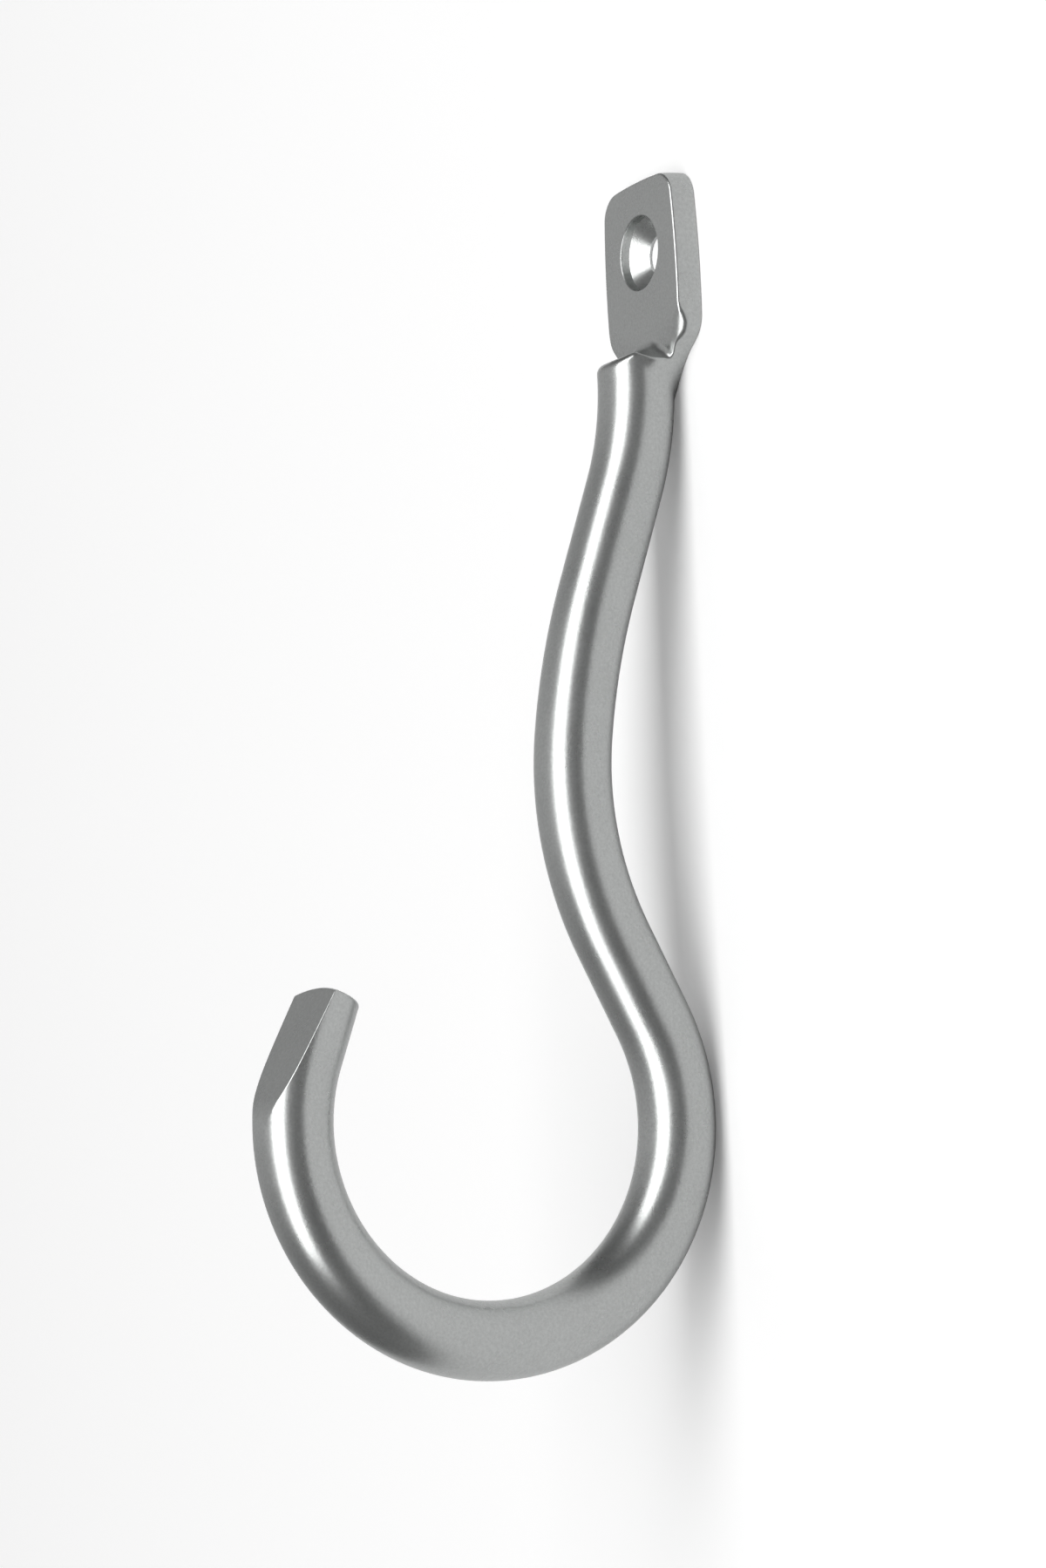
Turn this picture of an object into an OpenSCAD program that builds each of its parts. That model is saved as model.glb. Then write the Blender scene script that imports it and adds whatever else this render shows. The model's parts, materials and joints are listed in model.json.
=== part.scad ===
// Forged wall coat hook in one piece: a lug with a sunk screw hole, a shouldered neck,
// a round shank that bows off the wall, and a loop that ends in a flattened tip.
// The wall is the plane Y = 0, the front looks along -Y and Z is up.
// The origin is the axis of the screw hole where it meets the wall.

/* [Bar] */
// Diameter of the round bar
rod_d = 10; // [8:0.5:12]
// Gap that the back of the bar keeps from the wall
bar_gap = 0.05; // [0.02:0.01:0.5]

/* [Lug] */
// Greatest width of the lug
lug_w = 19.2; // [16:0.2:26]
// Thickness of the lug
lug_t = 3.5; // [3:0.1:4.5]
// Height of the lug above the screw axis
lug_rise = 9.7; // [8:0.1:14]
// Radius of the crowned top edge
lug_crown_r = 85; // [30:5:200]
// Radius of the bulging sides
lug_side_r = 110; // [60:5:300]
// Depth of the widest place below the screw axis
lug_belly_drop = 4; // [0:0.5:6]
// Corner radius at the top
lug_corner_r = 3.8; // [1:0.2:6]
// Corner radius at the foot
lug_foot_r = 4; // [1:0.2:6]
// Slope of the foot's two sides towards the bar
lug_foot_a = 34.5; // [25:0.5:45]
// Distance from the screw axis down to the point of the foot
lug_foot_drop = 18.3; // [17:0.1:22]

/* [Screw hole] */
// Clearance diameter for the screw
bore_d = 5.2; // [4:0.1:6]
// Diameter of the sunk seat for the screw head
seat_d = 9.8; // [8:0.1:12]
// Depth of the straight part of the seat
seat_depth = 1.3; // [0.4:0.1:1.8]
// Straight land left behind the cone
bore_land = 0.4; // [0.2:0.1:0.8]

/* [Neck] */
// Distance from the screw axis down to the top of the shoulder
shoulder_drop = 12.9; // [12:0.1:14]
// Slope of the shoulder's front face below level
shoulder_a = 21; // [10:1:35]
// Distance from the screw axis down to the bar's full width
full_drop = 15; // [14:0.1:18]
// Slope of the shoulder's two side faces below level
hip_a = 39; // [25:1:50]
// Straight run of the bar below its full width
neck_run = 1.5; // [1.2:0.1:4]
// Distance from the screw axis down to the end of the flat face at its sides
bevel_drop = 9.7; // [7:0.1:11]
// Slope of the flat face's lower edge towards the middle
bevel_edge_a = 16.4; // [5:0.2:30]
// Angle at which the two foot bevels fall away from the flat face
bevel_a = 16.5; // [5:0.5:30]

/* [Shank] */
// Radius at the bar's axis of the bend off the wall
lean_r = 45; // [30:1:70]
// Angle between the wall and the shank where it runs off the wall
lean_a = 19.5; // [17:0.5:24]
// Straight run off the wall
lean_run = 14.7; // [8:0.1:24]
// Radius at the bar's axis of the upper part of the bow
bow_upper_r = 95; // [60:1:140]
// Angle at which the bow tightens
bow_break_a = 7.5; // [2:0.5:12]
// Radius at the bar's axis of the lower part of the bow
bow_lower_r = 45.5; // [30:0.5:60]
// Angle between the wall and the shank where it runs back to the wall
return_a = 26.2; // [20:0.2:30]

/* [Loop] */
// Radius at the bar's axis of the loop's back
loop_back_r = 27.8; // [22:0.2:36]
// Radius at the bar's axis of the loop's front
loop_front_r = 26.4; // [20:0.2:34]
// Direction of the bar where the two radii meet, 90 being level
loop_change_a = 95; // [60:5:120]
// Direction of the bar at the end of the loop, 180 being straight up
loop_end_a = 200.5; // [185:0.5:210]

/* [Tip] */
// Straight run up to the end of the tip
tip_run = 9; // [5:0.2:16]
// Thickness that the flat leaves at the very end
tip_t = 5.7; // [4:0.1:6.5]
// Angle between the flat and the bar
tip_flat_a = 9.2; // [6:0.1:12]
// Turn of the flat about the bar's axis, which leaves the -X side thicker
tip_turn_a = 5.5; // [0:0.5:15]
// Radius that blends the flat into the loop
tip_blend_r = 10; // [8:0.5:18]
// Radius of the domed end
tip_dome_r = 19; // [12:1:60]

/* [Hidden] */
$fn = 60;

rod_r = rod_d / 2;
neck_drop = full_drop + neck_run;
// How far the cutting bodies pass what they cut
over = 1;
far = 2 * (lug_w + rod_d);
// How far the outline's rounds stand proud, so that they fuse cleanly
hair = 0.005;
// Height of the joint discs in the bar, and how far they stand proud and fall short of it
joint_h = 0.5;
joint_lip = 0.02;

// Straight run back to the wall, so long that the loop's back just touches it
return_run = (lean_r * (1 - cos(lean_a)) + lean_run * sin(lean_a)
    + bow_upper_r * (cos(bow_break_a) - cos(lean_a))
    - bow_lower_r * (cos(bow_break_a) - cos(return_a))
    - loop_back_r * (1 - cos(return_a))) / sin(return_a);

// The bar's course below the neck, as [bend radius, end direction] or [0, length].
// Direction 0 is straight down, and it grows as the bar turns to the front.
COURSE = [
    [lean_r, lean_a],
    [0, lean_run],
    [bow_upper_r, bow_break_a],
    [bow_lower_r, -return_a],
    [0, return_run],
    [loop_back_r, loop_change_a],
    [loop_front_r, loop_end_a],
    [0, tip_run],
];
LAST = len(COURSE) - 1;

// Unit vectors along the bar and to its front side, as [y, z]
function along(a) = [-sin(a), -cos(a)];
function beside(a) = [-cos(a), sin(a)];

// Centre of bend i, and where piece i of the course starts and ends, as [[y, z], direction]
function turn_of(i) = sign(COURSE[i][1] - start_of(i)[1]);
function bend_centre(i) = start_of(i)[0] + turn_of(i) * COURSE[i][0] * beside(start_of(i)[1]);
function start_of(i) = i == 0 ? [[-rod_r - bar_gap, -neck_drop], 0] : end_of(i - 1);
function end_of(i) =
    let (q = start_of(i), s = COURSE[i])
    s[0] == 0
        ? [q[0] + s[1] * along(q[1]), q[1]]
        : [bend_centre(i) - turn_of(i) * s[0] * beside(s[1]), s[1]];

function unit(v) = v / norm(v);

// Where two circles about a and b with radii ra and rb meet, on the left of a to b
function circles_meet(a, ra, b, rb) =
    let (d = norm(b - a), u = (b - a) / d, k = (ra * ra - rb * rb + d * d) / (2 * d))
    a + k * u + sqrt(ra * ra - k * k) * [-u[1], u[0]];

// Puts a child that points up +Z at q = [[y, z], direction], pointing along the bar
module at(q) {
    translate([0, q[0][0], q[0][1]])
        rotate([180 - q[1], 0, 0])
            children();
}

// One straight run or one bend of the round bar
module course_piece(i) {
    q = start_of(i);
    s = COURSE[i];
    if (s[0] == 0) {
        at(q) cylinder(r = rod_r, h = s[1]);
    } else {
        c = bend_centre(i);
        first = turn_of(i) > 0 ? 90 - s[1] : 270 - q[1];
        translate([0, c[0], c[1]])
            rotate([0, 90, 0])
                rotate([0, 0, first])
                    rotate_extrude(angle = abs(s[1] - q[1]))
                        translate([s[0], 0])
                            circle(r = rod_r);
    }
}

// A disc across the joint at the start of piece i of the course, a hair proud at its middle
module joint(i) {
    at(start_of(i)) {
        cylinder(r1 = rod_r + joint_lip, r2 = rod_r - joint_lip, h = joint_h);
        translate([0, 0, -joint_h]) cylinder(r1 = rod_r - joint_lip, r2 = rod_r + joint_lip, h = joint_h);
    }
}

// The lug's outline in X and Z: crowned top, bulging sides and a foot that comes to a point
lug_crown_c = [0, lug_rise - lug_crown_r];
lug_side_c = [lug_w / 2 - lug_side_r, -lug_belly_drop];
lug_foot_side = [cos(lug_foot_a), sin(lug_foot_a)];
lug_foot_in = [-sin(lug_foot_a), cos(lug_foot_a)];

// Centres of the corner rounds, on the right side
lug_corner_c = circles_meet(
    lug_side_c, lug_side_r - lug_corner_r, lug_crown_c, lug_crown_r - lug_corner_r);
foot_start = [0, -lug_foot_drop] + lug_foot_r / cos(lug_foot_a) * [0, 1];
foot_gap = foot_start - lug_side_c;
foot_half = foot_gap * lug_foot_side;
lug_foot_c = foot_start + lug_foot_side * (sqrt(foot_half * foot_half - foot_gap * foot_gap
    + pow(lug_side_r - lug_foot_r, 2)) - foot_half);

// The corner tip that lies past the round about c between its tangent points a and b
module corner_tip(c, a, b) {
    polygon([a, b, b + 2 * (b - c), a + 2 * (a - c)]);
}

module lug_outline() {
    lug_side_end = lug_side_c + lug_side_r * unit(lug_corner_c - lug_side_c);
    lug_crown_end = lug_crown_c + lug_crown_r * unit(lug_corner_c - lug_crown_c);
    foot_side_end = lug_side_c + lug_side_r * unit(lug_foot_c - lug_side_c);
    foot_end = lug_foot_c - lug_foot_r * lug_foot_in;
    difference() {
        intersection() {
            translate(lug_crown_c) circle(r = lug_crown_r);
            translate(lug_side_c) circle(r = lug_side_r);
            mirror([1, 0]) translate(lug_side_c) circle(r = lug_side_r);
            polygon([
                [0, -lug_foot_drop],
                [0, -lug_foot_drop] + far * lug_foot_side,
                [0, far],
                [0, -lug_foot_drop] + far * [-lug_foot_side[0], lug_foot_side[1]],
            ]);
        }
        for (side = [0, 1]) mirror([side, 0]) {
            corner_tip(lug_corner_c, lug_side_end, lug_crown_end);
            corner_tip(lug_foot_c, foot_end, foot_side_end);
        }
    }
    for (side = [0, 1]) mirror([side, 0]) {
        translate(lug_corner_c) circle(r = lug_corner_r + hair);
        translate(lug_foot_c) circle(r = lug_foot_r + hair);
    }
}

// A half space above the level of its origin, for a slanted cut
module half_space() {
    translate([-far, -far, 0]) cube([2 * far, 2 * far, far]);
}

// The hole for one countersunk screw, from the wall to past the front
module screw_hole() {
    rotate([90, 0, 0]) {
        translate([0, 0, -over]) cylinder(d = bore_d, h = lug_t + 2 * over);
        translate([0, 0, bore_land])
            cylinder(d1 = bore_d, d2 = seat_d, h = lug_t - seat_depth - bore_land);
        translate([0, 0, lug_t - seat_depth]) cylinder(d = seat_d, h = seat_depth + over);
    }
}

// The lug, with its screw hole and the two bevels at its foot
module lug() {
    difference() {
        rotate([90, 0, 0]) linear_extrude(lug_t) lug_outline();
        screw_hole();
        for (side = [0, 1]) mirror([side, 0, 0])
            translate([lug_w / 2, -lug_t, -bevel_drop])
                rotate([0, -bevel_edge_a, 0])
                    rotate([90 + bevel_a, 0, 0])
                        half_space();
    }
}

// The top of the bar: a shoulder that slopes to the front and to both sides
module neck() {
    difference() {
        union() {
            translate([0, start_of(0)[0][0], -neck_drop]) cylinder(r = rod_r, h = neck_drop - bevel_drop);
            joint(0);
            course_piece(0);
        }
        translate([0, -lug_t, -shoulder_drop]) rotate([shoulder_a, 0, 0]) half_space();
        for (side = [-1, 1])
            translate([side * rod_r, 0, -full_drop]) rotate([0, side * hip_a, 0]) half_space();
    }
}

// What the flat on the tip takes off, as an outline along and outwards from the bar's end
module tip_cut_outline() {
    n = [sin(tip_flat_a), cos(tip_flat_a)];
    ahead = [n[1], -n[0]];
    level = (tip_t - rod_r) * n[1];
    loop_c = [-tip_run, -loop_front_r];
    slack = loop_front_r + rod_r - tip_blend_r;
    swing = acos((level - tip_blend_r - n * loop_c) / slack);
    m = [sin(tip_flat_a - swing), cos(tip_flat_a - swing)];
    c = loop_c + slack * m;
    flat_start = c + tip_blend_r * n;
    // The blend stands proud by as much as the turned flat would bite where the blend starts
    bite = rod_r / 2 * pow(tan(tip_turn_a), 2);
    difference() {
        polygon([c, c + far * m, flat_start + far * (ahead + n), flat_start + far * ahead, flat_start]);
        translate(c) circle(r = tip_blend_r + hair + bite);
    }
}

// The loop's front and the tip, with its flat and its domed end
module tip() {
    difference() {
        union() {
            joint(LAST - 1);
            course_piece(LAST - 1);
            joint(LAST);
            at(start_of(LAST)) intersection() {
                cylinder(r = rod_r, h = tip_run + over);
                translate([0, 0, tip_run - tip_dome_r]) sphere(r = tip_dome_r);
            }
        }
        at(end_of(LAST))
            rotate([180, -90, tip_turn_a])
                translate([0, 0, -far])
                    linear_extrude(2 * far)
                        tip_cut_outline();
    }
}

module hook() {
    color([0.69, 0.71, 0.71]) {
        lug();
        neck();
        for (i = [1 : LAST - 2]) {
            course_piece(i);
            joint(i);
        }
        tip();
    }
}

hook();
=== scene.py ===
"""Forged wall coat hook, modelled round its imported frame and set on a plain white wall."""

import json
import math

import bpy
import numpy as np
from mathutils import Matrix, Vector

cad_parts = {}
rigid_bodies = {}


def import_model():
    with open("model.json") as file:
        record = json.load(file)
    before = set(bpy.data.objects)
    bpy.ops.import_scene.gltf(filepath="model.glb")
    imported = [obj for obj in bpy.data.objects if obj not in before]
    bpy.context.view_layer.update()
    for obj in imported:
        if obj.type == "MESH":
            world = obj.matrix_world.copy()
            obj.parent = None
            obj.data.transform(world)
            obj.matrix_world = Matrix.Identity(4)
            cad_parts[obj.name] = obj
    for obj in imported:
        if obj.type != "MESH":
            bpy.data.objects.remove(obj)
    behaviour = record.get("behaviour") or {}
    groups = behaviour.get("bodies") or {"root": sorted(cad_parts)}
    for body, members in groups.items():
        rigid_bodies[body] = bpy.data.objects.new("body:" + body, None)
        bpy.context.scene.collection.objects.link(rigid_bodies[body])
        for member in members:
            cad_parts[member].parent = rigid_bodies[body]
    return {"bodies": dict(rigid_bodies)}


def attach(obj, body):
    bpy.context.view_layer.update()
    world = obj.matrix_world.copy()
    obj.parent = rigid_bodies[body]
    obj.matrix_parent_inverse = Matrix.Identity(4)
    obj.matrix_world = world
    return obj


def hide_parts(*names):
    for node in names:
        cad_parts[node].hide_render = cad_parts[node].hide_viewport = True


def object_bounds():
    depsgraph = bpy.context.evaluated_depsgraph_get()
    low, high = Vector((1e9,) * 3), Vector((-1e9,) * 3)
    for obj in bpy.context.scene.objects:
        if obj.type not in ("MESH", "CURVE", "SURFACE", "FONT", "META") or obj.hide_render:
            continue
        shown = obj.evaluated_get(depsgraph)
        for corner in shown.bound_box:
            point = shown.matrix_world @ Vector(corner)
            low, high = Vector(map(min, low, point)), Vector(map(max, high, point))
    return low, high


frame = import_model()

bl_info = {
    "name": "Forged Coat Hook",
    "version": (1, 0, 0),
    "blender": (4, 5, 0),
    "location": "View3D > Sidebar > Coat Hook",
    "description": "Builds a forged wall coat hook and its plain studio",
    "category": "Object",
}

CAD_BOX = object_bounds()
BODY = next(iter(frame["bodies"]))


# ---------------------------------------------------------------- sizes


def length(name, description, default, step=0.1):
    return bpy.props.FloatProperty(
        name=name, description=description, default=default, min=0.0, precision=5, step=step, unit="LENGTH"
    )


def angle(name, description, degrees):
    return bpy.props.FloatProperty(
        name=name, description=description, default=math.radians(degrees), subtype="ANGLE"
    )


def tint(name, description, hex_value):
    colour = linear(hex_value)
    return bpy.props.FloatVectorProperty(
        name=name, description=description, default=colour, size=3, min=0.0, max=1.0, subtype="COLOR"
    )


def linear(hex_value):
    """A linear colour from its sRGB hex value."""
    parts = [int(hex_value[i : i + 2], 16) / 255 for i in (1, 3, 5)]
    return tuple(c / 12.92 if c <= 0.04045 else ((c + 0.055) / 1.055) ** 2.4 for c in parts)


class HookSizes(bpy.types.PropertyGroup):
    bar_diameter: length("Bar diameter", "Diameter of the round bar", 0.010)
    bar_gap: length("Bar gap", "Gap that the back of the bar keeps from the wall", 0.00005)
    bend_start: length("Bend start", "Drop from the screw axis to the first bend", 0.0165)
    lean_radius: length("Lean radius", "Radius of the bend off the wall", 0.045)
    lean_angle: angle("Lean angle", "Direction of the run off the wall", 19.5)
    lean_run: length("Lean run", "Straight run off the wall", 0.0147)
    bow_upper_radius: length("Upper bow radius", "Radius of the bow's upper part", 0.095)
    bow_break_angle: angle("Bow break", "Direction at which the bow tightens", 7.5)
    bow_lower_radius: length("Lower bow radius", "Radius of the bow's lower part", 0.0455)
    return_angle: angle("Return angle", "Direction of the run back to the wall", 26.2)
    loop_back_radius: length("Loop back radius", "Radius of the loop's back", 0.0278)
    loop_change_angle: angle("Loop change", "Direction at which the loop's radii meet", 95)
    loop_front_radius: length("Loop front radius", "Radius of the loop's front", 0.0264)
    loop_end_angle: angle("Loop end", "Direction of the bar at the end of the loop", 200.5)
    tip_run: length("Tip run", "Straight run up to the end of the tip", 0.009)
    tip_thickness: length("Tip thickness", "Thickness that the flat leaves at the end", 0.0057)
    tip_flat_angle: angle("Tip flat angle", "Angle between the flat and the bar", 9.2)
    tip_turn_angle: angle("Tip turn", "Turn of the flat about the bar, which leaves the -X side thicker", 5.5)
    tip_blend_radius: length("Tip blend", "Radius that blends the flat into the loop", 0.010)
    tip_dome_radius: length("Tip dome", "Radius of the domed end", 0.019)
    lug_width: length("Lug width", "Greatest width of the lug", 0.0192)
    lug_thickness: length("Lug thickness", "Thickness of the lug", 0.0035)
    lug_rise: length("Lug rise", "Height of the lug above the screw axis", 0.0097)
    lug_crown_radius: length("Crown radius", "Radius of the crowned top edge", 0.085)
    lug_side_radius: length("Side radius", "Radius of the bulging sides", 0.110)
    lug_belly_drop: length("Belly drop", "Drop of the widest place below the screw axis", 0.004)
    lug_corner_radius: length("Top corner radius", "Radius of the top corners", 0.0038)
    lug_foot_radius: length("Foot corner radius", "Radius of the foot's corners", 0.004)
    lug_foot_angle: angle("Foot slope", "Slope of the foot's sides towards the bar", 34.5)
    lug_foot_drop: length("Foot drop", "Drop from the screw axis to the foot's point", 0.0183)
    bore_diameter: length("Bore diameter", "Clearance diameter for the screw", 0.0052)
    seat_diameter: length("Seat diameter", "Diameter of the sunk seat", 0.0098)
    seat_depth: length("Seat depth", "Depth of the straight part of the seat", 0.0013)
    bore_land: length("Bore land", "Straight land left behind the cone", 0.0004)
    shoulder_drop: length("Shoulder drop", "Drop from the screw axis to the shoulder", 0.0129)
    shoulder_angle: angle("Shoulder slope", "Slope of the shoulder's front face", 21)
    full_drop: length("Full width drop", "Drop to the bar's full width", 0.015)
    hip_angle: angle("Hip slope", "Slope of the shoulder's side faces", 39)
    bevel_drop: length("Foot bevel drop", "Drop to where the bevels meet the flat face at its sides", 0.0097)
    bevel_edge_angle: angle("Foot bevel edge", "Slope of the flat face's lower edge", 16.4)
    bevel_angle: angle("Foot bevel fall", "Angle at which the foot bevels fall away", 12)
    bevel_roll: length("Bevel roll", "Radius that rolls the flat face into the foot bevels", 0.0003)
    corner_drop: length("Corner drop", "Drop to where the corner chamfer starts on the front edge", 0.0090)
    corner_inset: length("Corner inset", "How far in from the lug's side the corner chamfer starts", 0.0003)
    corner_turn_angle: angle("Corner turn", "Turn of the corner chamfer towards the +X side", 36)
    corner_fall_angle: angle("Corner fall", "Angle at which the corner chamfer faces down", 25)
    corner_roll: length("Corner roll", "Radius that rolls the flat face into the corner chamfer", 0.0004)
    side_lean: length("Side lean", "How far the lug's sides lean in at the front", 0.00025)
    edge_break: length("Edge break", "Radius on the edges of the lug and the shoulder", 0.0003)
    mouth_break: length("Mouth break", "Radius on the mouth of the screw hole", 0.0002)
    ridge_round: length("Ridge round", "Radius on the shoulder's front ridge", 0.0009)
    root_fillet: length("Root fillet", "Fillet between the shoulder and the lug", 0.001)
    tail_fillet: length("Tail fillet", "Fillet between the lug's foot and the bar's back", 0.003)
    crease_round: length("Crease round", "Radius on the edge of the tip's flat", 0.00012)
    end_round: length("End round", "Radius on the edge of the domed end", 0.00035)


class HookColours(bpy.types.PropertyGroup):
    metal: tint("Metal", "Colour of the satin metal", "#CACCCB")
    wall: tint("Wall", "Colour of the wall", "#FDFDFD")


# ---------------------------------------------------------------- the shape of the forging, in millimetres

SPARE = 1.0  # how far the plate and the neck reach past the faces that cut them back
RUN_ON = 6.0  # how far the bar's last run goes on, for the domed end to cut it
RIDGE_START, RIDGE_SPAN = 6.0, 3.0  # where, out from the wall, the shoulder's ridge grows rounder
TIP_REACH = 25.0  # how far from the bar's end the tip's cuts reach
WELL_INSIDE = -9.0  # the distance that a cut has where it doesn't reach


def both(a, b, radius):
    """Distance to what two shapes share, with the edge where they meet rounded."""
    inner = np.minimum(np.maximum(a, b), -radius)
    return inner + np.hypot(np.maximum(a + radius, 0), np.maximum(b + radius, 0))


def either(a, b, radius):
    """Distance to two shapes joined, with the corner where they meet filleted."""
    return -both(-a, -b, radius)


def ease(t):
    """A soft step from 0 to 1 as t goes from 0 to 1."""
    t = np.clip(t, 0, 1)
    return t * t * (3 - 2 * t)


def along(a):
    """Direction (y, z) of a bar that leans off the wall by the angle a, on its way down."""
    return np.array([-math.sin(a), -math.cos(a)])


def beside(a):
    """Direction (y, z) square to such a bar, out from the wall."""
    return np.array([-math.cos(a), math.sin(a)])


def unit(v):
    return np.asarray(v) / np.linalg.norm(v)


def circles_meet(a, ra, b, rb):
    """Where two circles about a and b meet, on the left of a to b."""
    a, b = np.asarray(a), np.asarray(b)
    d = np.linalg.norm(b - a)
    u = (b - a) / d
    k = (ra * ra - rb * rb + d * d) / (2 * d)
    return a + k * u + math.sqrt(ra * ra - k * k) * np.array([-u[1], u[0]])


def corner(x, z, centre, radius, first, second, flat):
    """flat, and in the wedge from direction first to second the round about centre."""
    dx, dz = x - centre[0], z - centre[1]
    inside = (first[0] * dz - first[1] * dx > 0) & (dx * second[1] - dz * second[0] > 0)
    return np.where(inside, np.hypot(dx, dz) - radius, flat)


class Forging:
    """The hook's surface as a distance in millimetres, negative inside the metal."""

    def __init__(self, sizes):
        for key in sizes.__annotations__:
            value = getattr(sizes, key)
            setattr(self, key, value if key.endswith("angle") else value * 1000)
        self.bar_radius = self.bar_diameter / 2
        self.course = self.make_course()
        self.crown_centre = (0.0, self.lug_rise - self.lug_crown_radius)
        self.side_centre = (self.lug_width / 2 - self.lug_side_radius, -self.lug_belly_drop)
        self.corner_centre = circles_meet(
            self.side_centre,
            self.lug_side_radius - self.lug_corner_radius,
            self.crown_centre,
            self.lug_crown_radius - self.lug_corner_radius,
        )
        self.foot_centre = self.make_foot_centre()

    def make_course(self):
        """The bar's axis as runs and bends, each a tuple.

        It holds (start, start direction, end, end direction, centre, turn, radius or length), and a
        straight run has no centre.
        """
        lean, bow, back = self.lean_angle, self.bow_break_angle, self.return_angle
        off = self.lean_radius * (1 - math.cos(lean)) + self.lean_run * math.sin(lean)
        off += self.bow_upper_radius * (math.cos(bow) - math.cos(lean))
        off -= self.bow_lower_radius * (math.cos(bow) - math.cos(back))
        off -= self.loop_back_radius * (1 - math.cos(back))
        steps = [
            (self.lean_radius, lean),
            (0, self.lean_run),
            (self.bow_upper_radius, bow),
            (self.bow_lower_radius, -back),
            (0, off / math.sin(back)),
            (self.loop_back_radius, self.loop_change_angle),
            (self.loop_front_radius, self.loop_end_angle),
            (0, self.tip_run),
        ]
        p, a, course = np.array([-self.bar_gap - self.bar_radius, -self.bend_start]), 0.0, []
        for radius, value in steps:
            if radius:
                turn = math.copysign(1, value - a)
                c = p + turn * radius * beside(a)
                q = c - turn * radius * beside(value)
                course.append((p, a, q, value, c, turn, radius))
                a = value
            else:
                q = p + value * along(a)
                course.append((p, a, q, a, None, 0, value))
            p = q
        return course

    def make_foot_centre(self):
        """Where the foot's corner rounds are centred, inside both the foot's slope and the bulging side."""
        side = np.array([math.cos(self.lug_foot_angle), math.sin(self.lug_foot_angle)])
        start = np.array([0.0, self.lug_foot_radius / side[0] - self.lug_foot_drop])
        gap = start - self.side_centre
        half = gap @ side
        reach = (self.lug_side_radius - self.lug_foot_radius) ** 2 - gap @ gap
        return start + side * (math.sqrt(half * half + reach) - half)

    def bar(self, x, y, z):
        """The round bar, whose two ends run on straight."""
        first, last = self.course[0][0], len(self.course) - 1
        best = np.where(z >= first[1], np.abs(y - first[0]), 1e9)
        for i, (p, a, _, b, c, turn, value) in enumerate(self.course):
            if c is None:
                u, w = along(a), beside(a)
                t = (y - p[0]) * u[0] + (z - p[1]) * u[1]
                d = np.abs((y - p[0]) * w[0] + (z - p[1]) * w[1])
                on = (t >= 0) & (t <= value + RUN_ON * (i == last))
            else:
                dy, dz = y - c[0], z - c[1]
                d = np.abs(np.hypot(dy, dz) - value)
                middle = (a + b) / 2
                at = np.arctan2(-turn * dz, turn * dy)
                at = middle + (at - middle + math.pi) % (2 * math.pi) - math.pi
                on = np.abs(at - middle) <= abs(b - a) / 2 + 1e-6
            best = np.where(on, np.minimum(best, d), best)
        return np.hypot(best, x) - self.bar_radius

    def lug_outline(self, x, z):
        """The lug seen from the front: bulging sides, a crowned top, a pointed foot and rounded corners."""
        x = np.abs(x)
        s, c = math.sin(self.lug_foot_angle), math.cos(self.lug_foot_angle)
        side = np.hypot(x - self.side_centre[0], z - self.side_centre[1]) - self.lug_side_radius
        crown = np.hypot(x - self.crown_centre[0], z - self.crown_centre[1]) - self.lug_crown_radius
        foot = x * s - (z + self.lug_foot_drop) * c
        d = np.maximum(np.maximum(side, crown), foot)
        first, second = (unit(self.corner_centre - q) for q in (self.side_centre, self.crown_centre))
        d = corner(x, z, self.corner_centre, self.lug_corner_radius, first, second, d)
        second = unit(self.foot_centre - self.side_centre)
        return corner(x, z, self.foot_centre, self.lug_foot_radius, (s, -c), second, d)

    def screw_hole(self, x, y, z):
        """The hole for the screw, with its cone and the straight part of its seat."""
        rho = np.hypot(x, z)
        bore, seat = self.bore_diameter / 2, self.seat_diameter / 2
        floor, land = self.seat_depth - self.lug_thickness, -self.bore_land
        slope = (seat - bore) / (land - floor)
        cone = (rho - bore - (land - y) * slope) / math.hypot(1, slope)
        return np.minimum(np.maximum(cone, rho - seat), rho - bore)

    def plate(self, x, y, z):
        """The lug's outline, its sides leaning in a little to the front, and thick enough to be cut back."""
        lean = self.side_lean * (y / self.lug_thickness) ** 2
        return both(self.lug_outline(x, z) + lean, -y - self.lug_thickness - SPARE, self.edge_break)

    def shoulder(self, x, y, z):
        """What cuts the bar's top off, sloping to the front and to both sides."""
        front, side = self.shoulder_angle, self.hip_angle
        ramp = (z + self.shoulder_drop) * math.cos(front) - (y + self.lug_thickness) * math.sin(front)
        hip = (z + self.full_drop) * math.cos(side) - (self.bar_radius - np.abs(x)) * math.sin(side)
        return both(ramp, hip, self.edge_break)

    def front(self, x, y, z):
        """What cuts the lug's front: the flat face, its two foot bevels and its +X lower corner's chamfer."""
        fall = (np.abs(x) - self.lug_width / 2) * math.sin(self.bevel_edge_angle)
        fall -= (z + self.bevel_drop) * math.cos(self.bevel_edge_angle)
        bevel = fall * math.sin(self.bevel_angle) - (y + self.lug_thickness) * math.cos(self.bevel_angle)
        flat = both(-y - self.lug_thickness, bevel, self.bevel_roll)
        turn, down = self.corner_turn_angle, self.corner_fall_angle
        edge = self.lug_width / 2 - self.corner_inset
        chamfer = (x - edge) * math.sin(turn) - (y + self.lug_thickness) * math.cos(turn)
        chamfer = chamfer * math.cos(down) - (z + self.corner_drop) * math.sin(down)
        return both(flat, chamfer, self.corner_roll)

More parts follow.
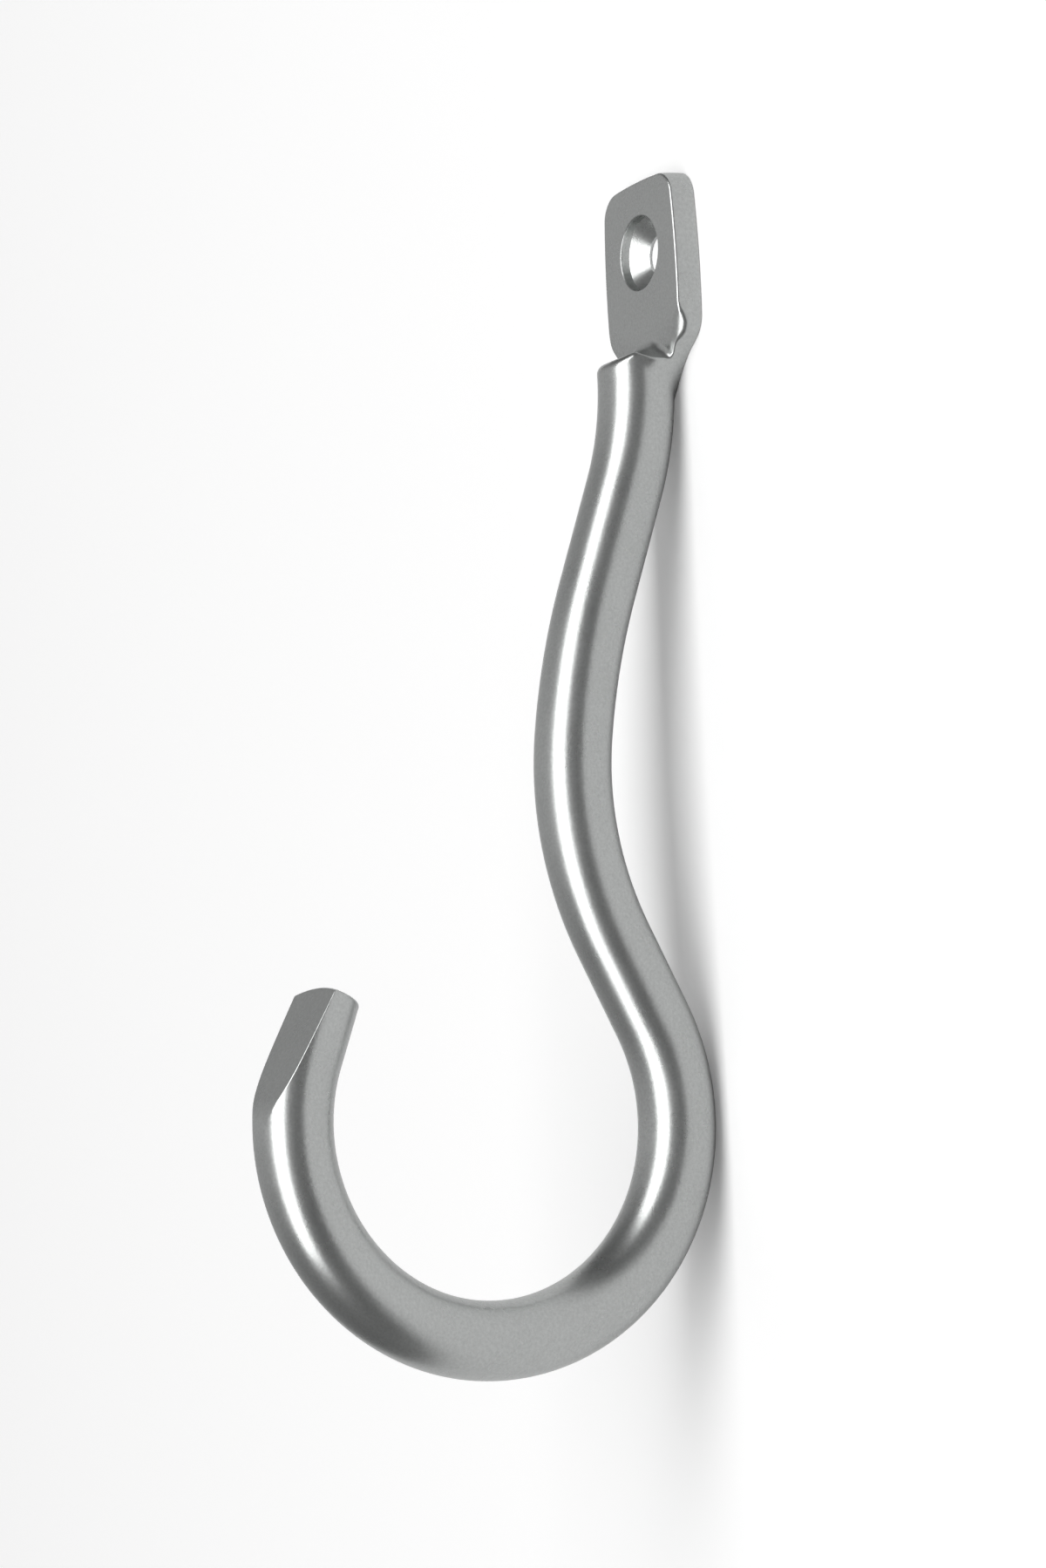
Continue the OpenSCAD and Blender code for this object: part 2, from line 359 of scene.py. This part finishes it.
    def head(self, x, y, z):
        """The plate and the bar's top run together, cut back to the front and the shoulder, and drilled."""
        shoulder = self.shoulder(x, y, z)
        neck = both(self.bar(x, y, z), shoulder - SPARE, self.edge_break)
        body = either(self.plate(x, y, z), neck, self.tail_fillet)
        kept = either(self.front(x, y, z), shoulder, self.root_fillet)
        rounder = ease((-y - RIDGE_START) / RIDGE_SPAN)
        edge = self.edge_break + (self.ridge_round - self.edge_break) * rounder
        body = both(body, kept, edge)
        body = both(body, -self.screw_hole(x, y, z), self.mouth_break)
        return both(body, y, self.edge_break / 2)

    def tip(self, x, y, z):
        """The bar with the tip's turned flat, the blend of the flat into the loop, and the domed end."""
        a, end = self.course[-1][1:3]
        u, w = along(a), -beside(a)
        s = (y - end[0]) * u[0] + (z - end[1]) * u[1]
        out = (y - end[0]) * w[0] + (z - end[1]) * w[1]
        o = out * math.cos(self.tip_turn_angle) + x * math.sin(self.tip_turn_angle)
        n = np.array([math.sin(self.tip_flat_angle), math.cos(self.tip_flat_angle)])
        level = (self.tip_thickness - self.bar_radius) * n[1]
        loop = np.array([-self.tip_run, -self.loop_front_radius])
        outer = self.loop_front_radius + self.bar_radius
        swing = math.acos((level - self.tip_blend_radius - n @ loop) / (outer - self.tip_blend_radius))
        m = np.array([math.sin(self.tip_flat_angle - swing), math.cos(self.tip_flat_angle - swing)])
        c = loop + (outer - self.tip_blend_radius) * m
        flat = s * n[0] + o * n[1] - level
        blend = np.hypot(s - c[0], o - c[1]) - self.tip_blend_radius
        rest = np.hypot(s - loop[0], o - loop[1]) - outer
        cut = np.where((s - c[0]) * n[1] - (o - c[1]) * n[0] >= 0, flat, blend)
        cut = np.where((s - c[0]) * m[1] - (o - c[1]) * m[0] < 0, rest, cut)
        dome = np.sqrt((s + self.tip_dome_radius) ** 2 + out**2 + x**2) - self.tip_dome_radius
        away = (s < -TIP_REACH) | (out < -2 * self.bar_radius)
        body = both(self.bar(x, y, z), np.where(away, WELL_INSIDE, cut), self.crease_round)
        return both(body, np.where(away, WELL_INSIDE, dome), self.end_round)

    def surface(self, x, y, z):
        """The whole hook: its head high up, and below that the bar with its tip."""
        return np.where(z > -2 * self.bend_start, self.head(x, y, z), self.tip(x, y, z))

    def normal(self, p, h=0.002):
        """Unit slope of the distance at points p, from central differences."""
        n = np.empty_like(p)
        for k in range(3):
            step = np.zeros(3)
            step[k] = h
            n[:, k] = self.surface(*(p + step).T) - self.surface(*(p - step).T)
        return n / np.maximum(np.linalg.norm(n, axis=1), 1e-9)[:, None]


# ---------------------------------------------------------------- modelling steps, sizes in millimetres

RING_PITCH = 0.9  # distance between the bar's rings
GRAIN = 0.3  # spacing of the head's even mesh
WELD = 0.01  # vertices closer than this are merged
SEAM = 0.25  # gap between the head and the bar's first ring, which one band of faces closes
JOIN_SHARE = 0.45  # the share of the first bend after which the head ends and the bar starts
NECK_REACH = 1.4  # how far round the bend the neck runs before it is cut off, set against that place
NECK_RISE = 1.5  # how far the neck starts above its shoulder
WEB_RUN = 1.25  # how far the web runs past the lug's foot, in tail fillets
WEB_SLOPE = math.radians(56)
DRILL_BEHIND, DRILL_BEFORE = 1.0, 4.0  # how far the drill reaches past the lug's back and the seat's floor
STRIDE = 1.0  # the most that a vertex moves in one pass


def start(name, add, **settings):
    """A new object from a primitive, with its place applied, left in edit mode with all of it selected."""
    bpy.ops.object.select_all(action="DESELECT")
    add(**settings)
    obj = bpy.context.object
    obj.name = name
    bpy.ops.object.transform_apply(location=True, rotation=True, scale=True)
    bpy.ops.object.mode_set(mode="EDIT")
    bpy.ops.mesh.select_all(action="SELECT")
    return obj


def select_only(obj, kind, chosen):
    """Goes to edit mode with only the chosen edges or faces selected, chosen being true or false for each."""
    bpy.ops.object.mode_set(mode="EDIT")
    bpy.ops.mesh.select_mode(type=kind)
    bpy.ops.mesh.select_all(action="DESELECT")
    bpy.ops.object.mode_set(mode="OBJECT")
    items = obj.data.edges if kind == "EDGE" else obj.data.polygons
    items.foreach_set("select", chosen)
    bpy.ops.object.mode_set(mode="EDIT")


def cut(place, out):
    """Cuts the mesh being edited by a plane through place, and closes what is kept."""
    bpy.ops.mesh.select_all(action="SELECT")
    bpy.ops.mesh.bisect(plane_co=Vector(place) / 1000, plane_no=out, clear_outer=True, use_fill=True)


def apply_modifier(obj, kind, **settings):
    """Adds one modifier with the given settings and applies it."""
    bpy.ops.object.mode_set(mode="OBJECT")
    bpy.context.view_layer.objects.active = obj
    modifier = obj.modifiers.new(kind.title(), kind)
    for key, value in settings.items():
        setattr(modifier, key, value)
    bpy.ops.object.modifier_apply(modifier=modifier.name)


def metres(p):
    """A point on the hook's middle plane, (y, z) in millimetres, as a place in metres."""
    return (0.0, p[0] / 1000, p[1] / 1000)


def sweep(pieces, pitch):
    """Carries the selected ring of edges along pieces of the bar's course, with rings about pitch apart."""
    for p, a, q, b, c, turn, value in pieces:
        if c is None:
            count = max(1, round(value / pitch))
            step = metres((q - p) / count)
            for _ in range(count):
                bpy.ops.mesh.extrude_edges_move(TRANSFORM_OT_translate={"value": step})
        else:
            count = max(1, round(abs(b - a) * value / pitch))
            bpy.ops.mesh.spin(steps=count, angle=b - a, center=metres(c), axis=(1, 0, 0))


def join_place(forging):
    """Where the head ends and the bar starts: a point of the first bend, and the bar's direction there."""
    _, _, _, b, c, turn, radius = forging.course[0]
    a = b * JOIN_SHARE
    return c - turn * radius * beside(a), a


def make_bar(forging):
    """The bar from the first bend to the end of the tip, as one tube of even rings with a closed end."""
    p, a = join_place(forging)
    _, _, q, b, c, turn, radius = forging.course[0]
    obj = start(
        "hook",
        bpy.ops.mesh.primitive_circle_add,
        vertices=80,
        radius=forging.bar_radius / 1000,
        location=metres(p + SEAM * along(a)),
        rotation=(-a, 0, 0),
    )
    a += SEAM / radius
    sweep([(p, a, q, b, c, turn, radius), *forging.course[1:]], RING_PITCH)
    bpy.ops.object.mode_set(mode="OBJECT")
    press(obj, forging)
    bpy.ops.object.mode_set(mode="EDIT")
    _, _, end, a, _, _, _ = forging.course[-1]
    middle_of_end = end - beside(a) * (forging.tip_thickness - forging.bar_diameter) / 2
    rings = 12
    for k in range(rings - 1, 0, -1):
        bpy.ops.mesh.extrude_edges_move(TRANSFORM_OT_translate={"value": (0, 0, 0)})
        bpy.ops.transform.resize(value=(k / (k + 1),) * 3, center_override=metres(middle_of_end))
    bpy.ops.mesh.extrude_edges_move(TRANSFORM_OT_translate={"value": (0, 0, 0)})
    bpy.ops.mesh.merge(type="CENTER")
    bpy.ops.object.mode_set(mode="OBJECT")
    settle(obj, forging, 2)
    refine(obj, forging, 3)
    return obj


def make_blade(name, forging, top, drop, slope, thickness):
    """A flat blade against the wall, cut to a point at its foot."""
    size = Vector((forging.lug_width, thickness, top + drop)) / 1000
    middle = (0, -thickness / 2000, (top - drop) / 2000)
    obj = start(name, bpy.ops.mesh.primitive_cube_add, size=1, location=middle)
    bpy.ops.transform.resize(value=size, center_override=middle)
    for side in (-1, 1):
        cut(place=(0, 0, -drop), out=(side * math.sin(slope), 0, -math.cos(slope)))
    bpy.ops.object.mode_set(mode="OBJECT")
    return obj


def make_lug(forging):
    """The lug as a blade with rounded corners, its foot beveled and its screw hole sunk."""
    thickness = forging.lug_thickness
    obj = make_blade(
        "lug", forging, forging.lug_rise, forging.lug_foot_drop, forging.lug_foot_angle, thickness
    )
    p = places(obj.data)
    ends = [tuple(edge.vertices) for edge in obj.data.edges]
    # The corner edges run through the thickness, away from the foot's point in the middle.
    through = [abs(p[i][1] - p[j][1]) > thickness / 2 and abs(p[i][0]) > thickness / 2 for i, j in ends]
    select_only(obj, "EDGE", through)
    bpy.ops.mesh.bevel(offset=forging.lug_corner_radius / 1000, segments=6, affect="EDGES")
    edge, fall = forging.bevel_edge_angle, forging.bevel_angle
    for side in (-1, 1):
        out = (side * math.sin(edge) * math.sin(fall), -math.cos(fall), -math.cos(edge) * math.sin(fall))
        cut(place=(side * forging.lug_width / 2, -thickness, -forging.bevel_drop), out=out)
    bpy.ops.object.mode_set(mode="OBJECT")
    bore, seat = forging.bore_diameter / 2000, forging.seat_diameter / 2000
    floor, land = (forging.seat_depth - thickness) / 1000, -forging.bore_land / 1000
    behind, before = DRILL_BEHIND / 1000, floor - DRILL_BEFORE / 1000
    drill = start(
        "drill",
        bpy.ops.mesh.primitive_circle_add,
        vertices=64,
        radius=bore,
        fill_type="NGON",
        location=(0, behind, 0),
        rotation=(math.pi / 2, 0, 0),
    )
    for y0, y1, grow in ((behind, land, 1), (land, floor, seat / bore), (floor, before, 1)):
        bpy.ops.mesh.extrude_region_move(TRANSFORM_OT_translate={"value": (0, y1 - y0, 0)})
        bpy.ops.transform.resize(value=(grow,) * 3, center_override=(0, y1, 0))
    bpy.ops.mesh.select_all(action="SELECT")
    bpy.ops.mesh.normals_make_consistent(inside=False)
    apply_modifier(obj, "BOOLEAN", object=drill, operation="DIFFERENCE", solver="EXACT")
    bpy.data.objects.remove(drill)
    return obj


def make_web(forging):
    """A blade that runs on from the lug's foot down the bar's back, where the two are filleted together."""
    drop = forging.lug_foot_drop + WEB_RUN * forging.tail_fillet
    return make_blade("web", forging, -forging.shoulder_drop, drop, WEB_SLOPE, forging.bar_radius / 2)


def make_neck(forging):
    """The bar's top as a closed stub, with its shoulder cut."""
    p, _, _, _, c, turn, radius = forging.course[0]
    _, a = join_place(forging)
    top = NECK_RISE - forging.shoulder_drop
    obj = start(
        "neck",
        bpy.ops.mesh.primitive_circle_add,
        vertices=96,
        radius=forging.bar_radius / 1000,
        fill_type="NGON",
        location=(0, p[0] / 1000, top / 1000),
    )
    bpy.ops.mesh.extrude_region_move(TRANSFORM_OT_translate={"value": (0, 0, (p[1] - top) / 1000)})
    bpy.ops.mesh.spin(steps=14, angle=a * NECK_REACH, center=metres(c), axis=(1, 0, 0))
    s, h = forging.shoulder_angle, forging.hip_angle
    cut(place=(0, -forging.lug_thickness, -forging.shoulder_drop), out=(0, -math.sin(s), math.cos(s)))
    for side in (-1, 1):
        edge = (side * forging.bar_radius, 0, -forging.full_drop)
        cut(place=edge, out=(side * math.sin(h), 0, math.cos(h)))
    bpy.ops.mesh.select_all(action="SELECT")
    bpy.ops.mesh.normals_make_consistent(inside=False)
    bpy.ops.object.mode_set(mode="OBJECT")
    return obj


def join(first, *others):
    """Joins the meshes into the first one."""
    bpy.ops.object.select_all(action="DESELECT")
    for obj in (first, *others):
        obj.select_set(True)
    bpy.context.view_layer.objects.active = first
    bpy.ops.object.join()
    return first


def places(mesh):
    """The vertices' places in millimetres."""
    p = np.empty(len(mesh.vertices) * 3)
    mesh.vertices.foreach_get("co", p)
    return p.reshape(-1, 3) * 1000


def place(mesh, p):
    """Puts the vertices at places in millimetres."""
    mesh.vertices.foreach_set("co", (p / 1000).ravel())
    mesh.update()


def press(obj, forging, passes=6):
    """Moves the vertices on to the forging's surface, and returns their places in millimetres."""
    p = places(obj.data)
    for _ in range(passes):
        d = forging.surface(*p.T)
        p -= np.clip(d, -STRIDE, STRIDE)[:, None] * forging.normal(p)
    place(obj.data, p)
    return p


def settle(obj, forging, rounds):
    """Evens out the mesh by sliding its vertices along the surface. The rims of an open mesh stay."""
    mesh = obj.data
    ends = np.empty(len(mesh.edges) * 2, dtype=np.int64)
    mesh.edges.foreach_get("vertices", ends)
    a, b = ends.reshape(-1, 2).T
    sides = np.empty(len(mesh.loops), dtype=np.int64)
    mesh.loops.foreach_get("edge_index", sides)
    rim = np.bincount(sides, minlength=len(mesh.edges)) < 2
    free = np.ones(len(mesh.vertices), dtype=bool)
    free[a[rim]] = free[b[rim]] = False
    count = np.bincount(ends, minlength=len(mesh.vertices))[:, None]
    for _ in range(rounds):
        p = press(obj, forging, 2)
        n = forging.normal(p)
        around = np.zeros_like(p)
        for k in range(3):
            around[:, k] = np.bincount(a, p[b, k], len(p)) + np.bincount(b, p[a, k], len(p))
        slide = around / np.maximum(count, 1) - p
        slide -= (slide * n).sum(axis=1)[:, None] * n
        place(mesh, p + slide * free[:, None] / 2)
    press(obj, forging, 3)


def refine(obj, forging, rounds, turn=math.radians(14)):
    """Splits the faces across which the surface turns by more than the given angle."""
    for _ in range(rounds):
        mesh = obj.data
        n = forging.normal(places(mesh))
        corner = np.empty(len(mesh.loops), dtype=np.int64)
        mesh.loops.foreach_get("vertex_index", corner)
        first = np.empty(len(mesh.polygons), dtype=np.int64)
        mesh.polygons.foreach_get("loop_start", first)
        total = np.diff(np.append(first, len(corner)))
        mean = np.add.reduceat(n[corner], first, axis=0) / total[:, None]
        chosen = np.linalg.norm(mean, axis=1) < math.cos(turn / 2)
        select_only(obj, "FACE", chosen)
        bpy.ops.mesh.subdivide(number_cuts=1)
        bpy.ops.object.mode_set(mode="OBJECT")
        settle(obj, forging, 1)


def make_head(forging):
    """The lug and the neck as one fine even mesh, pressed to shape and cut off square across the bar."""
    head = join(make_lug(forging), make_web(forging), make_neck(forging))
    for _ in range(2):
        apply_modifier(head, "REMESH", mode="VOXEL", voxel_size=GRAIN / 1000, adaptivity=0)
        press(head, forging)
    settle(head, forging, 3)
    refine(head, forging, 3)
    p, a = join_place(forging)
    out = along(a)
    bpy.ops.object.mode_set(mode="EDIT")
    bpy.ops.mesh.select_all(action="SELECT")
    bpy.ops.mesh.bisect(plane_co=metres(p), plane_no=(0, out[0], out[1]), clear_outer=True)
    bpy.ops.mesh.select_all(action="SELECT")
    bpy.ops.mesh.remove_doubles(threshold=WELD / 1000)
    bpy.ops.object.mode_set(mode="OBJECT")
    return head


def make_hook(forging):
    """The bar and the head bridged into one closed mesh, smooth by the shape's own normals."""
    hook = join(make_bar(forging), make_head(forging))
    bpy.ops.object.mode_set(mode="EDIT")
    bpy.ops.mesh.select_mode(type="EDGE")
    bpy.ops.mesh.select_all(action="DESELECT")
    bpy.ops.mesh.select_non_manifold(
        extend=False, use_wire=False, use_multi_face=False, use_non_contiguous=False, use_verts=False
    )
    bpy.ops.mesh.bridge_edge_loops()
    bpy.ops.mesh.select_all(action="SELECT")
    bpy.ops.mesh.normals_make_consistent(inside=False)
    bpy.ops.object.mode_set(mode="OBJECT")
    bpy.ops.object.shade_smooth()
    p = press(hook, forging, 3)
    hook.data.normals_split_custom_set_from_vertices(forging.normal(p))
    return hook


# ---------------------------------------------------------------- finishes

PAINTED_SHADE_IN_METAL = 0.77  # how bright the wall is in the metal, set against the wall itself: painted shade that darkens the wall in reflections alone
CAMERA_LIFT = 0.15  # the white that the wall adds for the camera alone


def node(tree, kind, links=(), **settings):
    """Adds a node.

    links are (source socket, input) pairs. settings name the node's properties, or its inputs with
    spaces as underscores.
    """
    made = tree.nodes.new(kind)
    for key, value in settings.items():
        socket = made.inputs.get(key.replace("_", " "))
        if hasattr(made, key):
            setattr(made, key, value)
        elif socket is not None:
            socket.default_value = value
        else:
            raise ValueError(f"{kind} has no {key}")
    for source, target in links:
        tree.links.new(source, made.inputs[target])
    return made


def empty_material(name):
    material = bpy.data.materials.new(name)
    material.use_nodes = True
    material.node_tree.nodes.clear()
    return material, material.node_tree


def satin_forged_aluminium(colour):
    """Forged aluminium, satin finished: a soft mirror with a fine speckle and faint dull clouds."""
    material, tree = empty_material("satin_forged_aluminium")
    place = node(tree, "ShaderNodeTexCoord").outputs["Object"]
    # The speckle is about 0.4 mm across and the clouds about 6 mm.
    speckle = node(tree, "ShaderNodeTexNoise", [(place, "Vector")], Scale=2600.0, Detail=3.0, Roughness=0.7)
    clouds = node(tree, "ShaderNodeTexNoise", [(place, "Vector")], Scale=160.0, Detail=4.0, Roughness=0.55)
    tone = node(
        tree,
        "ShaderNodeMapRange",
        [(speckle.outputs["Fac"], "Value")],
        From_Min=0.3,
        From_Max=0.7,
        To_Min=0.89,
        To_Max=1.08,
    )
    drift = node(tree, "ShaderNodeMapRange", [(clouds.outputs["Fac"], "Value")], To_Min=0.95, To_Max=1.05)
    both_tones = [(tone.outputs["Result"], 0), (drift.outputs["Result"], 1)]
    mottle = node(tree, "ShaderNodeMath", both_tones, operation="MULTIPLY")
    paint = node(tree, "ShaderNodeVectorMath", [(mottle.outputs["Value"], 1)], operation="MULTIPLY")
    paint.inputs[0].default_value = colour
    dull = node(tree, "ShaderNodeMapRange", [(clouds.outputs["Fac"], "Value")], To_Min=0.24, To_Max=0.32)
    grain = node(tree, "ShaderNodeBump", [(speckle.outputs["Fac"], "Height")], Strength=0.3, Distance=0.00004)
    shader = node(
        tree,
        "ShaderNodeBsdfPrincipled",
        [
            (paint.outputs["Vector"], "Base Color"),
            (dull.outputs["Result"], "Roughness"),
            (grain.outputs["Normal"], "Normal"),
        ],
        Metallic=1.0,
    )
    node(tree, "ShaderNodeOutputMaterial", [(shader.outputs["BSDF"], "Surface")])
    return material


def matt_white_wall(colour):
    """Matt white board with the hook's soft shadow, with painted shade that makes it greyer in the metal, and
    clear from behind.
    """
    material, tree = empty_material("matt_white_wall")
    path = node(tree, "ShaderNodeLightPath").outputs
    back = node(tree, "ShaderNodeNewGeometry").outputs["Backfacing"]
    paint = node(tree, "ShaderNodeBsdfDiffuse")
    paint.inputs["Color"].default_value = (*colour, 1)
    # Painted shade: a darker copy of the wall that only the metal's reflections see.
    shade = node(tree, "ShaderNodeBsdfDiffuse")
    shade.inputs["Color"].default_value = (*(PAINTED_SHADE_IN_METAL * c for c in colour), 1)
    clear = node(tree, "ShaderNodeBsdfTransparent")
    lift = node(tree, "ShaderNodeMath", [(path["Is Camera Ray"], 0)], operation="MULTIPLY")
    lift.inputs[1].default_value = CAMERA_LIFT
    glow = node(tree, "ShaderNodeEmission", [(lift.outputs["Value"], "Strength")])
    seen = node(tree, "ShaderNodeAddShader", [(paint.outputs["BSDF"], 0), (glow.outputs["Emission"], 1)])
    board = node(
        tree,
        "ShaderNodeMixShader",
        [(path["Is Glossy Ray"], 0), (seen.outputs["Shader"], 1), (shade.outputs["BSDF"], 2)],
    )
    unseen = node(tree, "ShaderNodeMath", [(back, 0), (path["Is Camera Ray"], 1)], operation="MULTIPLY")
    mix = node(
        tree,
        "ShaderNodeMixShader",
        [(unseen.outputs["Value"], 0), (board.outputs["Shader"], 1), (clear.outputs["BSDF"], 2)],
    )
    node(tree, "ShaderNodeOutputMaterial", [(mix.outputs["Shader"], "Surface")])
    return material


def grey_steps(tree, value, steps):
    """A smooth run of greys over a value, steps being (value, grey) pairs in order."""
    ramp = node(tree, "ShaderNodeValToRGB", [(value, "Fac")])
    while len(ramp.color_ramp.elements) < len(steps):
        ramp.color_ramp.elements.new(0.5)
    for element, (at, grey) in zip(ramp.color_ramp.elements, steps):
        element.position = at
        element.color = (grey, grey, grey, 1)
    return ramp.outputs["Color"]


ROOM_GREYS_UPWARD = (
    (0, 0.15),
    (0.1, 0.16),
    (0.25, 0.24),
    (0.42, 0.38),
    (0.62, 0.46),
    (0.78, 0.32),
    (0.9, 0.14),
    (1, 0.10),
)
ROOM_SHARES_RIGHTWARD = ((0, 1.0), (0.6, 1.0), (0.86, 0.62), (0.97, 0.42), (1, 0.42))


def studio_world():
    """White behind everything, and for light and reflections a grey room.

    The room is darker overhead, underfoot and to the right.
    """
    world = bpy.data.worlds.new("studio")
    bpy.context.scene.world = world
    world.use_nodes = True
    tree = world.node_tree
    tree.nodes.clear()
    ray = node(tree, "ShaderNodeTexCoord").outputs["Generated"]
    axes = node(tree, "ShaderNodeSeparateXYZ", [(ray, "Vector")]).outputs
    height = node(tree, "ShaderNodeMapRange", [(axes["Z"], "Value")], From_Min=-1.0).outputs["Result"]
    side = node(tree, "ShaderNodeMapRange", [(axes["X"], "Value")], From_Min=-1.0).outputs["Result"]
    level = grey_steps(tree, height, ROOM_GREYS_UPWARD)
    fall = grey_steps(tree, side, ROOM_SHARES_RIGHTWARD)
    mixed = node(tree, "ShaderNodeVectorMath", [(level, 0), (fall, 1)], operation="MULTIPLY")
    room = node(tree, "ShaderNodeBackground", [(mixed.outputs["Vector"], "Color")])
    white = node(tree, "ShaderNodeBackground")
    white.inputs["Color"].default_value = (1, 1, 1, 1)
    camera = node(tree, "ShaderNodeLightPath").outputs["Is Camera Ray"]
    mix = node(
        tree,
        "ShaderNodeMixShader",
        [(camera, 0), (room.outputs["Background"], 1), (white.outputs["Background"], 2)],
    )
    node(tree, "ShaderNodeOutputWorld", [(mix.outputs["Shader"], "Surface")])


# ---------------------------------------------------------------- operators

WALL_SIZE = 1.2
WALL_GAP = 0.00002  # how far behind the lug the wall lies, in metres
CAMERA_TARGET = (0, -0.024836, -0.070693)
CAMERA_DISTANCE = 0.6332
CAMERA_AZIMUTH, CAMERA_ELEVATION, CAMERA_ROLL = 61.689, -7.565, -2.977  # degrees
CAMERA_LENS = 114.27


class HOOK_OT_forge(bpy.types.Operator):
    """Model the forged hook in place of its CAD solid"""

    bl_idname = "coat_hook.forge"
    bl_label = "Forge Hook"

    def execute(self, context):
        hook = make_hook(Forging(context.scene.hook_sizes))
        hook.name = "forged_hook"
        hook.data.materials.clear()
        hook.data.materials.append(satin_forged_aluminium(context.scene.hook_colours.metal[:]))
        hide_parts("hook")
        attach(hook, BODY)
        return {"FINISHED"}


def direction(azimuth, elevation):
    """Unit vector from the hook towards a place in the studio, azimuth 0 being straight out from the wall."""
    a, e = math.radians(azimuth), math.radians(elevation)
    return Vector((math.sin(a) * math.cos(e), -math.cos(a) * math.cos(e), math.sin(e)))


def softbox(name, azimuth, elevation, width, height, distance, radiance):
    """An area lamp that faces the hook. width and height are the angles it fills, in degrees."""
    lamp = bpy.data.lights.new(name, "AREA")
    lamp.shape = "RECTANGLE"
    lamp.size = 2 * distance * math.tan(math.radians(width / 2))
    lamp.size_y = 2 * distance * math.tan(math.radians(height / 2))
    lamp.energy = radiance * math.pi * lamp.size * lamp.size_y
    obj = bpy.data.objects.new(name, lamp)
    bpy.context.scene.collection.objects.link(obj)
    out = direction(azimuth, elevation)
    obj.location = middle() + out * distance
    obj.rotation_euler = out.to_track_quat("Z", "Y").to_euler()
    return obj


def middle():
    """The middle of the hook's box."""
    low, high = CAD_BOX
    return (low + high) / 2


class HOOK_OT_stage(bpy.types.Operator):
    """Build the white wall, the soft light and the camera"""

    bl_idname = "coat_hook.stage"
    bl_label = "Build Stage"

    def execute(self, context):
        wall = start(
            "wall",
            bpy.ops.mesh.primitive_plane_add,
            size=WALL_SIZE,
            rotation=(math.pi / 2, 0, 0),
            location=(0, WALL_GAP, 0),
        )
        bpy.ops.object.mode_set(mode="OBJECT")
        wall.data.materials.append(matt_white_wall(context.scene.hook_colours.wall[:]))
        studio_world()
        key = softbox("key", azimuth=21, elevation=4, width=36, height=92, distance=1.2, radiance=2.6)
        key.visible_camera = False
        camera = bpy.data.objects.new("camera", bpy.data.cameras.new("camera"))
        context.scene.collection.objects.link(camera)
        camera.data.sensor_width = 36
        camera.data.lens = CAMERA_LENS
        camera.data.clip_start, camera.data.clip_end = 0.01, 20
        out = direction(CAMERA_AZIMUTH, CAMERA_ELEVATION)
        camera.location = Vector(CAMERA_TARGET) + out * CAMERA_DISTANCE
        turn = out.to_track_quat("Z", "Y").to_matrix().to_4x4()
        camera.rotation_euler = (turn @ Matrix.Rotation(math.radians(CAMERA_ROLL), 4, "Z")).to_euler()
        context.scene.camera = camera
        context.scene.view_settings.view_transform = "Standard"
        return {"FINISHED"}


class HOOK_PT_panel(bpy.types.Panel):
    """Sidebar panel with the hook's operators, sizes and colours"""

    bl_label = "Coat Hook"
    bl_idname = "HOOK_PT_panel"
    bl_space_type = "VIEW_3D"
    bl_region_type = "UI"
    bl_category = "Coat Hook"

    def draw(self, context):
        for cls in OPERATORS:
            self.layout.operator(cls.bl_idname)
        for group in (context.scene.hook_sizes, context.scene.hook_colours):
            box = self.layout.box()
            for key in group.__annotations__:
                box.prop(group, key)


OPERATORS = (HOOK_OT_forge, HOOK_OT_stage)
CLASSES = (HookSizes, HookColours, *OPERATORS, HOOK_PT_panel)


def register():
    for cls in CLASSES:
        bpy.utils.register_class(cls)
    bpy.types.Scene.hook_sizes = bpy.props.PointerProperty(type=HookSizes)
    bpy.types.Scene.hook_colours = bpy.props.PointerProperty(type=HookColours)


def unregister():
    del bpy.types.Scene.hook_colours
    del bpy.types.Scene.hook_sizes
    for cls in reversed(CLASSES):
        bpy.utils.unregister_class(cls)


def main():
    """Builds the hook and its stage."""
    register()
    bpy.ops.coat_hook.forge()
    bpy.ops.coat_hook.stage()


if __name__ == "__main__":
    main()
